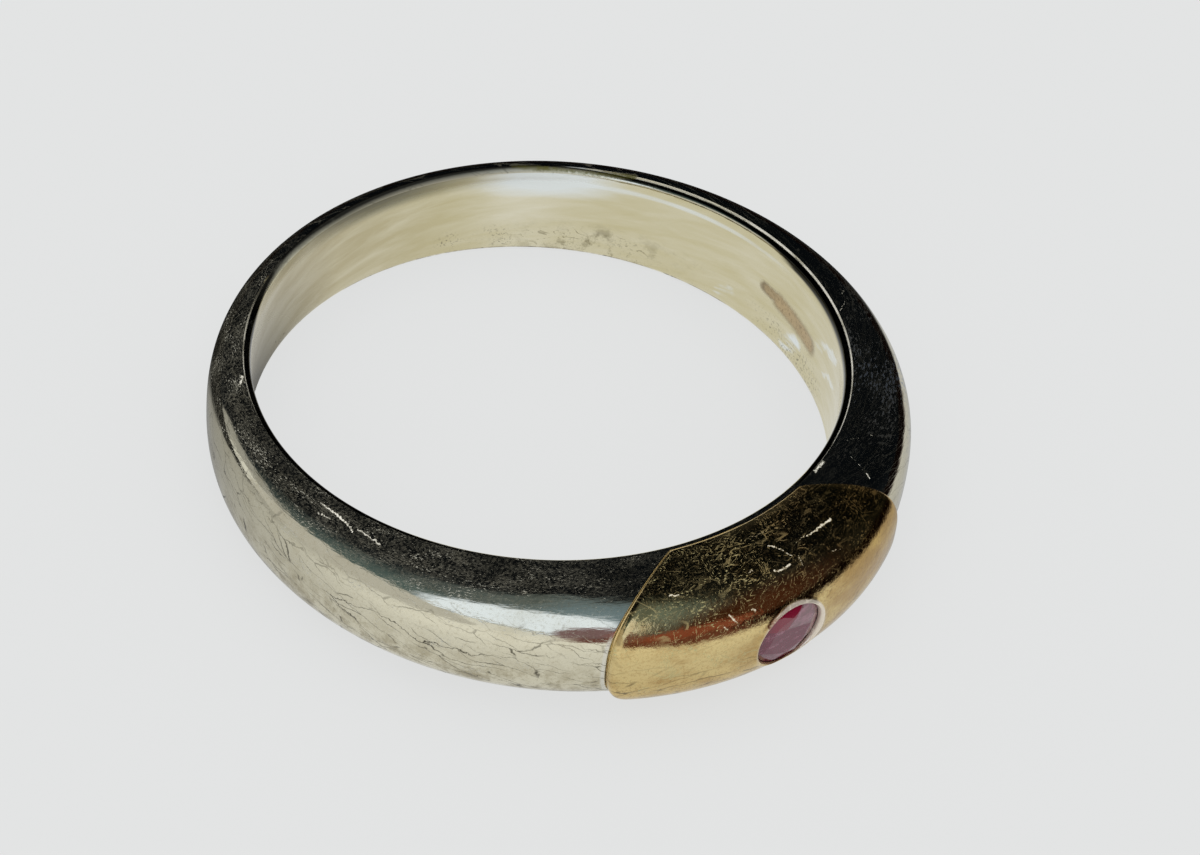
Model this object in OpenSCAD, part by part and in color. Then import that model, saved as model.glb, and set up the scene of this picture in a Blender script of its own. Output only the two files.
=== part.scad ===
/* [Finger hole] */
// Diameter of the finger hole
bore_d = 17.2; // [15.5:0.1:20]
// Rounding of the two rims of the finger hole
rim_round = 0.25; // [0.15:0.05:0.35]

/* [Band] */
// Width of the band at the inlay
width_front = 4.1; // [3.6:0.1:5]
// Width of the band opposite the inlay
width_back = 3.2; // [2.6:0.1:3.5]
// Thickness of the band at the inlay
thick_front = 2.5; // [2.2:0.1:2.8]
// Thickness of the band at its two sides, half-way round
thick_side = 1.6; // [1.4:0.05:1.8]
// Thickness of the band opposite the inlay
thick_back = 1.05; // [0.8:0.05:1.4]
// Fullness of the section towards the sides: 2 is an ellipse, more is squarer
side_fullness = 2.8; // [2.2:0.1:3.2]
// Fullness of the section towards the outside
crown_fullness = 2.36; // [2.1:0.02:2.8]

/* [Inlay] */
// Length of the inlay round the outside of the band
inlay_length = 10.8; // [9:0.1:12]
// Length of the inlay at the rims of the finger hole
inlay_rim_length = 3.4; // [3:0.1:4.6]
// Depth of the seat that is cut into the band for the inlay
seat_depth = 0.35; // [0.3:0.05:0.45]
// How far the inlay's crown stands above the band
crown_rise = 0.34; // [0.3:0.01:0.45]
// How far the inlay's cheeks stand above the sides of the band
cheek_rise = 0.15; // [0.05:0.01:0.2]
// Height of the rounded edge that the inlay has all round
edge_rise = 0.08; // [0.04:0.01:0.12]

/* [Stone] */
// Diameter of the stone at its girdle
stone_d = 2.3; // [2:0.05:2.5]
// How far the stone sits below the middle of the inlay
stone_drop = 0.14; // [0:0.02:0.2]
// How far the stone's face is turned down, in degrees, to follow the rounded crown
stone_tip = 2; // [0:1:6]
// How far the stone's face lies below the top of the crown
stone_sink = 0.08; // [0.05:0.01:0.15]
// Width of the stone's table as a share of its diameter
table_share = 0.62; // [0.5:0.01:0.7]
// Height of the crown, from girdle to table
crown_h = 0.18; // [0.14:0.01:0.3]
// Thickness of the girdle
girdle_h = 0.06; // [0.04:0.01:0.1]
// Depth of the pavilion, from girdle to culet
pavilion_h = 0.9; // [0.7:0.05:1]
// Width of the bright bevel that is cut round the stone
bevel_w = 0.1; // [0.06:0.01:0.16]

/* [Hidden] */

// Play left between two pieces, and how far one cut runs into the next
gap = 0.02;
overlap = 0.001;
bore_r = bore_d / 2;
stone_r = stone_d / 2;

// Directions round the ring are angles from the middle of the inlay, which faces -Y.
// The section's own angle u runs from the lower side (-90) over the outside (0) to the upper side (90).
width_mean = (width_front + width_back) / 2;
width_swing = (width_front - width_back) / 2;
thick_mean = (thick_front + 2 * thick_side + thick_back) / 4;
thick_swing = (thick_front - thick_back) / 2;
thick_wave = (thick_front - 2 * thick_side + thick_back) / 4;

function width(a) = width_mean + width_swing * cos(a);
function thick(a) = thick_mean + thick_swing * cos(a) + thick_wave * cos(2 * a);

// The largest u of the section, where the rounding of the rim takes over
function rim_u(a) = acos(pow(rim_round / thick(a), crown_fullness / 2));

// Point [rho, z] of the section at direction a, with rho counted from the wall of the finger hole
function section(a, u) = [
    thick(a) * pow(cos(u), 2 / crown_fullness),
    width(a) / 2 * sign(u) * pow(abs(sin(u)), 2 / side_fullness)
];

// Outward direction of the section there: the slope of the curve's own equation, brought to length 1
function slope(a, u) = [
    crown_fullness / thick(a) * pow(cos(u), 2 - 2 / crown_fullness),
    2 * side_fullness / width(a) * sign(u) * pow(abs(sin(u)), 2 - 2 / side_fullness)
];
function outward(a, u) = slope(a, u) / norm(slope(a, u));
function raised(a, u, h) = section(a, u) + h * outward(a, u);

// Shape of the inlay. Its outline narrows from the outside of the band to the rims, with v from -1 to 1
// across the section, and its ends bow out towards the band.
u_end = rim_u(0);
outline_power = 0.6;
half_angle = inlay_length / 2 / (bore_r + thick_front) * 180 / PI;
half_angle_rim = inlay_rim_length / 2 / bore_r * 180 / PI;
function edge_angle(v) = half_angle_rim + (half_angle - half_angle_rim) * pow(cos(v * u_end), outline_power);

// The seat stops just outside the rounded rims, and its walls lean out by a small draft.
lip_w = 0.04;
draft = 0.02;
function v_at(rho) = acos(pow(rho / thick_front, crown_fullness / 2)) / u_end;
v_lip = v_at(rim_round + lip_w);
v_floor = v_at(rim_round + lip_w + draft);
v_top = v_at(rim_round + lip_w + gap);
v_under = v_at(rim_round + lip_w + draft + gap);
draft_angle = draft / bore_r * 180 / PI;
gap_angle = gap / bore_r * 180 / PI;

// Height of the inlay over the band, with s and t from -1 to 1 along and across the inlay:
// a low rounded edge all round, and a pillow that is highest on the outside
edge_power = 60;
end_power = 9;
cheek_power = 10;
function pillow(s, t) = (1 - pow(abs(s), end_power)) * (1 - pow(abs(t), cheek_power));
function kerb(s, t) = (1 - pow(abs(s), edge_power)) * (1 - pow(abs(t), edge_power));
function rise(s, t, u) =
    edge_rise * kerb(s, t) + (cheek_rise + (crown_rise - cheek_rise) * pow(cos(u), 2)) * pillow(s, t);

// The band's middle plane leans a little, so that the ring lies flat on the inlay's lower cheek and on
// the narrow back of the band, with its finger hole upright.
cheek_h = max([for (t = [-1:0.02:1]) raised(0, t * v_top * u_end, rise(0, t, t * v_top * u_end))[1]]);
back_h = section(180, rim_u(180))[1];
lean = (cheek_h - back_h) / 2;
function place(a, p) = [(bore_r + p[0]) * sin(a), -(bore_r + p[0]) * cos(a), p[1] + lean * cos(a)];

// Faces of a closed ring of columns whose points run round a closed loop of rows
function ring_faces(columns, rows) = [
    for (j = [0:columns - 1], i = [0:rows - 1])
        let (j2 = (j + 1) % columns, i2 = (i + 1) % rows)
            each [
                [j * rows + i, j2 * rows + i2, j * rows + i2],
                [j * rows + i, j2 * rows + i, j2 * rows + i2]
            ]
];

// Band: columns round the ring, rows round the section. Columns bunch to follow the seat's outline.
seat_columns = 20;
open_columns = 76;
rows_out = 20;
rim_steps = [0, 30, 60];
inside = 0.3;

// Direction of column j in a row at v
function column_angle(j, v) =
    let (e = edge_angle(v), inner = e - draft_angle)
        j <= seat_columns
            ? -inner + 2 * inner * j / seat_columns
            : e + (360 - 2 * e) * (j - seat_columns - 1) / open_columns;

// Points of the two rims: a rounding, then a slope that runs on into the space of the finger hole
function rim_point(a, f, side) =
    let (z = section(a, rim_u(a))[1])
        [rim_round * (1 - sin(f)), side * (z - rim_round * (1 - cos(f)))];
function rim_inside(a, side) =
    let (z = section(a, rim_u(a))[1])
        [-inside, side * (z - rim_round / 2 - inside * tan(60))];

function band_column(j) = concat(
    [let (a = column_angle(j, 1)) place(a, rim_inside(a, 1))],
    [for (k = [2:-1:0]) let (a = column_angle(j, 1)) place(a, rim_point(a, rim_steps[k], 1))],
    [let (a = column_angle(j, v_lip)) place(a, section(a, v_lip * rim_u(a)))],
    [
        for (i = [rows_out:-2:-rows_out])
            let (v = v_floor * i / rows_out, a = column_angle(j, v))
                place(a, raised(a, v * rim_u(a), j <= seat_columns ? -seat_depth : 0))
    ],
    [let (a = column_angle(j, -v_lip)) place(a, section(a, -v_lip * rim_u(a)))],
    [for (k = [0:2]) let (a = column_angle(j, 1)) place(a, rim_point(a, rim_steps[k], -1))],
    [let (a = column_angle(j, 1)) place(a, rim_inside(a, -1))]
);

// Places along the stone's axis, counted so that its face is as far along it as from the ring's own axis
table_y = bore_r + thick_front + crown_rise + edge_rise - stone_sink;
girdle_top = table_y - crown_h;
girdle_low = girdle_top - girdle_h;
culet_y = girdle_low - pavilion_h;
stone_z = lean - stone_drop;

// The pit under the stone clears the culet and, where the stone leaves the seat's floor, the pavilion
pit_room = 0.12;
pit_least_r = 0.5;
pit_top = bore_r + thick_front;
pit_floor = culet_y - pit_room;
pit_r = max(pit_least_r, stone_r * (pit_top - seat_depth - culet_y) / pavilion_h + 4 * gap);

// Turns what is made along +Z to the stone's axis, which runs out of the ring towards -Y and a little down
module on_stone_axis()
    translate([0, -table_y, stone_z]) rotate([90 + stone_tip, 0, 0]) translate([0, 0, -table_y]) children();

module band() {
    columns = seat_columns + open_columns + 2;
    grid = [for (j = [0:columns - 1]) band_column(j)];
    color([0.80, 0.80, 0.77])
        difference() {
            polyhedron(
                points = [for (column = grid) each column],
                faces = ring_faces(columns, len(grid[0])),
                convexity = 8
            );
            cylinder(h = 3 * width_front, r = bore_r, center = true, $fn = 180);
            on_stone_axis() translate([0, 0, pit_floor]) cylinder(h = pit_top - pit_floor, r = pit_r, $fn = 48);
        }
}

// Inlay: one closed shell, its upper skin and its under skin joined along the edges. Points lie close
// together near the edges.
inlay_columns = 32;
inlay_rows = 24;
function bunched(k, n) = sin(180 * k / n - 90);

function skin_point(s, t, top) =
    let (
        v = t * (top ? v_top : v_under),
        a = s * (edge_angle(v) - gap_angle - (top ? 0 : draft_angle)),
        u = v * rim_u(a)
    )
        place(a, raised(a, u, top ? rise(s, t, u) : gap - seat_depth));

function skin(top) = [
    for (j = [0:inlay_columns], i = [0:inlay_rows])
        skin_point(bunched(j, inlay_columns), bunched(i, inlay_rows), top)
];

// Numbers of the skin's points along its border, once round
border = let (m = inlay_columns, n = inlay_rows, w = inlay_rows + 1) concat(
    [for (j = [0:m - 1]) j * w],
    [for (i = [0:n - 1]) m * w + i],
    [for (j = [m:-1:1]) j * w + n],
    [for (i = [n:-1:1]) i]
);

module inlay() {
    w = inlay_rows + 1;
    under = (inlay_columns + 1) * w;
    skin_faces = [
        for (j = [0:inlay_columns - 1], i = [0:inlay_rows - 1])
            let (p = j * w + i)
                each [
                    [p, p + 1, p + w + 1],
                    [p, p + w + 1, p + w],
                    [under + p, under + p + w + 1, under + p + 1],
                    [under + p, under + p + w, under + p + w + 1]
                ]
    ];
    edge_faces = [
        for (k = [0:len(border) - 1])
            let (p = border[k], q = border[(k + 1) % len(border)])
                each [[p, q, under + q], [p, under + q, under + p]]
    ];
    seat_r = stone_r + gap;
    seat_h = seat_r * pavilion_h / stone_r;
    seat_top = girdle_low - 2 * gap;
    color([0.83, 0.69, 0.40])
        difference() {
            polyhedron(points = concat(skin(true), skin(false)), faces = concat(skin_faces, edge_faces), convexity = 8);
            on_stone_axis() {
                translate([0, 0, seat_top - seat_h]) cylinder(h = seat_h, r1 = 0, r2 = seat_r, $fn = 72);
                translate([0, 0, seat_top - overlap])
                    cylinder(h = table_y - bevel_w - seat_top + 2 * overlap, r = seat_r, $fn = 72);
                translate([0, 0, table_y - bevel_w])
                    cylinder(h = 2 * bevel_w, r1 = seat_r, r2 = seat_r + 2 * bevel_w, $fn = 72);
            }
        }
}

// Stone: a round brilliant cut. Main facets meet the girdle at every 45 degrees, and the points between
// them lie on the same planes.
module stone() {
    table_r = stone_r * table_share;
    star_r = stone_r * 0.82;
    star_z = crown_h * (stone_r - star_r * cos(22.5)) / (stone_r - table_r);
    lower_r = stone_r * 0.3;
    lower_z = -girdle_h - pavilion_h * (stone_r - lower_r * cos(22.5)) / stone_r;
    corners = concat(
        [for (k = [0:7]) [table_r * cos(45 * k), table_r * sin(45 * k), crown_h]],
        [for (k = [0:7]) [star_r * cos(45 * k + 22.5), star_r * sin(45 * k + 22.5), star_z]],
        [for (k = [0:15]) [stone_r * cos(22.5 * k), stone_r * sin(22.5 * k), 0]],
        [for (k = [0:15]) [stone_r * cos(22.5 * k), stone_r * sin(22.5 * k), -girdle_h]],
        [for (k = [0:7]) [lower_r * cos(45 * k + 22.5), lower_r * sin(45 * k + 22.5), lower_z]],
        [[0, 0, -girdle_h - pavilion_h]]
    );
    color([0.62, 0.08, 0.22])
        on_stone_axis() translate([0, 0, girdle_top])
            hull() polyhedron(points = corners, faces = [[for (k = [0:len(corners) - 1]) k]]);
}

band();
inlay();
stone();
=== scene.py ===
import math

import bmesh
import bpy
import numpy as np
from mathutils import Matrix, Vector


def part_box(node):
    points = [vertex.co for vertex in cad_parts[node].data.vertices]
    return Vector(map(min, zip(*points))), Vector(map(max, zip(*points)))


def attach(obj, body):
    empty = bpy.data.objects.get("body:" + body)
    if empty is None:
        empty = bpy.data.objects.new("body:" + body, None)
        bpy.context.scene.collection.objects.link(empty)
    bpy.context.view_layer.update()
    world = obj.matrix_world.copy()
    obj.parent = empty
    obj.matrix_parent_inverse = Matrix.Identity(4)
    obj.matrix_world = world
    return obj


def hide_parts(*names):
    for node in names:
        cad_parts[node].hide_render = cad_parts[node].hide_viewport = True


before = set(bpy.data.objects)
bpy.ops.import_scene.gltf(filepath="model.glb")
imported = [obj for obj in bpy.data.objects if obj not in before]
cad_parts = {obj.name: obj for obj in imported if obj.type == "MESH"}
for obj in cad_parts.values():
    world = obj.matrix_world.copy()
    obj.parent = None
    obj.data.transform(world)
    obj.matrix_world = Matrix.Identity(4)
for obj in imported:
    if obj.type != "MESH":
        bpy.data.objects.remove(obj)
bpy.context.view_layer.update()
print("frame loaded:", sorted(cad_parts))

mm = 0.001

# Measures of the whole ring in mm. Directions round it are radians from the middle of the gold, which faces -Y.
ring = {
    "holeRadius": 8.6,
    "rimRound": 0.25,         # rounding of the two rims of the finger hole
    "widthFront": 4.1,        # width and thickness of the band at the gold
    "thickFront": 2.5,
    "thickSide": 1.6,
    "widthBack": 3.2,         # and opposite it
    "thickBack": 1.05,
    "sideFull": 2.8,          # squareness of the section towards its sides
    "crownFull": 2.36,        # and towards the outside
    "goldLength": 10.8,       # length of the gold round the outside
    "goldRimLength": 3.4,     # and along the rims
    "goldBow": 0.6,           # how far its ends bow out
    "seatDepth": 0.35,        # depth of the seat that the gold lies in
    "jointDepth": 0.07,       # and of the joint that shows round it
    "jointWidth": 0.1,        # width of the joint, and of the slope from there to the seat's full depth
    "seatSlope": 0.5,
    "lip": 0.04,              # silver left between the seat and the rims
    "play": 0.02,             # gap between two pieces
    "draft": 0.02,            # lean of the seat's walls
}
holeRadius = ring["holeRadius"]


# Share 0 to 1 of the way from a start over a length, which may be negative, and held outside it
def ramp(value, start, length):
    return np.clip((value - start) / length, 0, 1)


# A share with soft ends: 3 x^2 - 2 x^3
def eased(share):
    return share * share * (3 - 2 * share)


# Share 0 to 1 of a bell round a direction in degrees, the angle in radians
def bell(a, middle, spread):
    return np.exp(-((np.degrees(a) % 360 - middle) / spread) ** 2)


# Share 0 to 1 between two directions in degrees, each with the length of its fade, the angle in radians
def between(a, start, startFade, end, endFade):
    degrees = np.degrees(a) % 360
    return ramp(degrees, start, startFade) * ramp(degrees, end, -endFade)


# Width: the mean of front and back, and half their difference times the cosine of the direction
def bandWidth(a):
    front, back = ring["widthFront"], ring["widthBack"]
    return (front + back) / 2 + (front - back) / 2 * np.cos(a)


# Thickness: the same with a second wave, so that the two sides have their own thickness
def bandThick(a):
    front, side, back = ring["thickFront"], ring["thickSide"], ring["thickBack"]
    mean, wave = (front + 2 * side + back) / 4, (front - 2 * side + back) / 4
    return mean + (front - back) / 2 * np.cos(a) + wave * np.cos(2 * a)


# The section's angle where it is as low over the hole's wall as the rounding of the rim
def rimAngle(a):
    return np.arccos((ring["rimRound"] / bandThick(a)) ** (ring["crownFull"] / 2))


# Superellipse: the height over the hole's wall is thickness times cos^(2/crownFull), and z is half the width times
# sin^(2/sideFull)
def section(a, u):
    high = bandThick(a) * np.cos(u) ** (2 / ring["crownFull"])
    side = bandWidth(a) / 2 * np.sign(u) * np.abs(np.sin(u)) ** (2 / ring["sideFull"])
    return high, side


# Point of the section moved by h along the normal of that superellipse
def raised(a, u, h):
    high, side = section(a, u)
    nHigh = ring["crownFull"] / bandThick(a) * np.cos(u) ** (2 - 2 / ring["crownFull"])
    nSide = 2 * ring["sideFull"] / bandWidth(a) * np.sign(u) * np.abs(np.sin(u)) ** (2 - 2 / ring["sideFull"])
    size = np.hypot(nHigh, nSide)
    return high + h * nHigh / size, side + h * nSide / size


frontRim = rimAngle(0.0)
halfGold = ring["goldLength"] / 2 / (holeRadius + ring["thickFront"])
halfGoldRim = ring["goldRimLength"] / 2 / holeRadius


# Half the angle that the gold covers: least at the rims, and more by a power of the cosine across the section
def goldEdge(v):
    return halfGoldRim + (halfGold - halfGoldRim) * np.cos(np.clip(v, -1, 1) * frontRim) ** ring["goldBow"]


# Share v of the section, from -1 at the lower rim to 1 at the upper, where it is this high over the hole's wall
def shareAt(high):
    return float(np.arccos((high / ring["thickFront"]) ** (ring["crownFull"] / 2)) / frontRim)


seatShare = shareAt(ring["rimRound"] + ring["lip"])
goldShare = shareAt(ring["rimRound"] + ring["lip"] + ring["play"])
underShare = shareAt(ring["rimRound"] + ring["lip"] + ring["play"] + ring["draft"])


# Depth of the seat at a distance in mm inside its outline: shallow where the joint shows, then down to its floor
def seatDrop(inside):
    share = eased(ramp(inside, ring["jointWidth"], ring["seatSlope"]))
    return ring["jointDepth"] + (ring["seatDepth"] - ring["jointDepth"]) * share


# Length in mm along the front section from its middle, as a table against v
shareTable = np.linspace(0, 1, 400)
lengthTable = np.concatenate([[0], np.cumsum(np.hypot(*np.diff(section(0.0, shareTable * frontRim))))])


# Length in mm along the front section between two shares of it
def lengthBetween(start, end):
    return np.interp(end, shareTable, lengthTable) - np.interp(start, shareTable, lengthTable)


gold = {
    "crownRise": 0.34,        # height over the band at the middle, in mm
    "cheekRise": 0.15,        # and over the band's sides
    "edgeRise": 0.08,         # height of the rounded edge
    "edgeRadius": 0.13,       # width of that rounding
    "endFall": 0.5,           # share of the pillow's height lost towards its ends
    "endPower": 70,           # how late the rest falls
    "lowEndPower": 9,         # and below, on the side it lies on
    "lowUpTo": -0.7,          # share t up to which that holds, and how far it goes over to the rest
    "lowFade": 0.5,
    "cheekPower": 10,         # how late it falls towards the rims
    "around": 480,            # points round the outline
    "endShare": 0.33,         # share of them on each end, and on each long edge
    "edgeShare": 0.17,
    "across": 84,             # rows from the outline to the stone
    "bunch": 1.55,            # how far they bunch towards the outline
    "underRows": 16,          # rows of the underside, the bevel and the hole's cone
    "bevelRows": 7,
    "coneRows": 6,
    "sharp": 38,              # degrees from which an edge stays sharp
}


# Distances in mm from the gold's ends and from its two long edges, with s and t from -1 to 1 along and across it, and
# half the angle that it covers there
def borderAway(s, t, half, u):
    fromEnd = (1 - np.abs(s)) * half * (holeRadius + section(s * half, u)[0])
    return np.stack([fromEnd, lengthBetween(np.abs(t) * goldShare, goldShare) + 0 * fromEnd])


# Height of the gold: a quarter round along its edges, and a pillow 1 - |s|^n times 1 - |t|^m that is highest outside,
# times 1 - endFall s^2 on its upper part
def goldRise(s, t, half, u):
    near = 1 - np.clip(borderAway(s, t, half, u) / gold["edgeRadius"], 0, 1)
    quarter = np.sqrt(np.clip(1 - near ** 2, 0, 1)).prod(0)
    upper = ramp(t, gold["lowUpTo"], gold["lowFade"])
    endPower = gold["lowEndPower"] + (gold["endPower"] - gold["lowEndPower"]) * upper
    pillow = (1 - np.abs(s) ** endPower) * (1 - gold["endFall"] * upper * s ** 2)
    crown = gold["cheekRise"] + (gold["crownRise"] - gold["cheekRise"]) * np.cos(u) ** 2
    return gold["edgeRise"] * quarter + crown * pillow * (1 - np.abs(t) ** gold["cheekPower"])


# The ring leans so that it lies on the gold's lower cheek and on the back of the band
cheekShare = np.linspace(-1, 1, 101)
cheekAngle = cheekShare * goldShare * frontRim
cheekHeight = raised(0.0, cheekAngle, goldRise(0 * cheekShare, cheekShare, halfGoldRim, cheekAngle))[1].max()
lean = float((cheekHeight - section(math.pi, rimAngle(math.pi))[1]) / 2)


# Cylinder coordinates to x, y, z, with the middle plane dropping by the lean towards the back
def place(a, high, side):
    out = holeRadius + high
    return np.stack([out * np.sin(a), -out * np.cos(a), side + lean * np.cos(a)], -1)


stone = {
    "radius": 1.15,
    "table": 0.62,            # widths of the table, the star points and the lower points over that of the stone
    "star": 0.82,
    "lower": 0.3,
    "crown": 0.18,            # height of the crown, girdle and pavilion in mm
    "girdle": 0.06,
    "pavilion": 0.9,
    "tip": math.radians(2),   # how far the face is turned down
    "drop": 0.14,             # how far it sits below the middle of the gold
    "sink": 0.08,             # depth of the face below the crown of the gold
    "lip": 0.05,              # how far the gold is pressed over the stone's edge, and how thick it is there
    "lipThick": 0.03,
    "bead": 0.04,             # height and width of the burnished edge round it
    "beadWidth": 0.1,
    "softEdge": 0.006,        # rounding of the facets' edges
}
tableOut = holeRadius + ring["thickFront"] + gold["crownRise"] + gold["edgeRise"] - stone["sink"]
girdleLow = tableOut - stone["crown"] - stone["girdle"]
culetOut = girdleLow - stone["pavilion"]
stoneMiddle = np.array([0.0, -tableOut, lean - stone["drop"]])
stoneAxis = np.array([0.0, -math.cos(stone["tip"]), -math.sin(stone["tip"])])
stoneUp = np.array([0.0, -math.sin(stone["tip"]), math.cos(stone["tip"])])
stoneSide = np.array([1.0, 0.0, 0.0])


# Places of points in the stone's own frame: along its two cross directions, and out along its axis as from the
# hole's middle
def inStone(points):
    away = points - stoneMiddle
    return away @ stoneSide, away @ stoneUp, away @ stoneAxis + tableOut


def fromStone(x, y, out):
    return stoneMiddle + x[..., None] * stoneSide + y[..., None] * stoneUp + (out[..., None] - tableOut) * stoneAxis


def newObject(name, mesh):
    made = bpy.data.objects.new(name, mesh)
    bpy.context.scene.collection.objects.link(made)
    return made


# A grid with its first column and row put again at its end, so that it closes both ways
def wrapped(points):
    points = np.concatenate([points, points[:1]], 0)
    return np.concatenate([points, points[:, :1]], 1)


# Mesh from a grid of points that closes on itself both ways. The UV map holds millimetres: along runs round the ring
# and across round the section, each with one more column and row than the points, so that the seam stays clean.
def closedGrid(name, points, along, across, values):
    columns, rows = points.shape[:2]
    j, i = np.meshgrid(np.arange(columns), np.arange(rows), indexing="ij")
    corners = [(j, i), (j + 1, i), (j + 1, i + 1), (j, i + 1)]
    faces = np.stack([(cj % columns) * rows + ci % rows for cj, ci in corners], -1).reshape(-1, 4)
    mesh = bpy.data.meshes.new(name)
    mesh.from_pydata((points.reshape(-1, 3) * mm).tolist(), [], faces.tolist())
    layer = mesh.uv_layers.new(name="surface")
    uv = np.stack([np.stack([along[cj, ci], across[cj, ci]], -1) for cj, ci in corners], -2)
    layer.data.foreach_set("uv", uv.astype(np.float32).ravel())
    for key, value in values.items():
        mesh.attributes.new(key, "FLOAT", "POINT").data.foreach_set("value", value.astype(np.float32).ravel())
    mesh.polygons.foreach_set("use_smooth", [True] * len(mesh.polygons))
    mesh.update()
    return newObject(name, mesh)


band = {
    "besideGold": (0.0, 0.006, 0.015, 0.03, 0.06, 0.11, 0.18),   # columns just outside the gold, in mm
    "seatColumns": 84,        # columns across the seat, and round the rest of the band
    "openColumns": 400,
    "outRows": 84,            # rows across the outside, and how far they bunch towards the rims
    "outBunch": 1.25,
    "seatEdge": 0.0015,       # how far inside the seat's outline its last rows lie, as a share
    "lipShares": (-1.0, -0.75, -0.45, -0.15),   # rows over the silver between the seat and a rim
    "wallRows": 44,           # rows down the hole's wall
    "grooveRadius": 0.03,     # rounding of the silver's edge along the gold
    "pitRoom": 0.1,           # room under the stone's point
    "pitReach": 0.3,          # half the angle in which the pit may lie
    "stepRows": 8,            # worn step where the upper rim begins: its rows, and its height in mm
    "stepHeight": 0.07,
    "stepWidth": 0.08,        # share of the rim that it takes
    "flare": 0.02,            # how far the hole's wall opens towards the upper rim, and at the back
    "backFlare": 0.05,
    "flareFrom": 0.8,         # share of the wall's height where that begins
    "rimPowers": (5, 0.625),  # n and m of the rim's round 1 - (1 - f^n)^m, and where it is worn
    "wornPowers": (2, 0.5),
    "worn": (127.5, 15, 222.5, 15),   # directions between which it is: from, fade, to, fade
    "inHole": 5,              # last rows of each rim that look like the hole's wall
    # where it is worn, dirty and tarnished, and where highlights and shade are painted on, by directions in degrees:
    # middle and spread of a bell, or from, fade, to and fade. Heights on the hole's wall go from -1 at its lower rim
    # to 1 at its upper.
    "lessYellow": (60, 30, 165, 12),
    "highlightPatch": (147, 8),
    "rubbedHighlight": (143, 12),
    "highlightLine": (112, 24),
    "lineHeight": (0.84, 0.05),   # its height, and the spread of that
    "lowShaded": (190, 38, 262, 10),
    "shaded": (178, 20),
    "grimy": (132, 14),
    "specks": (195, 35, 352, 30),
    "coolSpecks": (47, 20),
    "brightRim": (62, 50),
    "brightRimLeft": (238, 14),
    # how far the painted black shade and tarnish reach at each direction: 1 is the end of the rim, from there it goes
    # down the wall
    "shadeAndTarnishAt": (12, 26, 80, 95, 112, 135, 160, 190, 205, 218, 235, 270, 330),
    "shadeAndTarnishReach": (0, 1.25, 1.15, 0.8, 0.6, 0.45, 0.75, 0.9, 0.6, 0.8, 1.2, 1.2, 0),
    "halfWall": 4.3,          # what half the wall's height counts for in that
}


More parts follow.
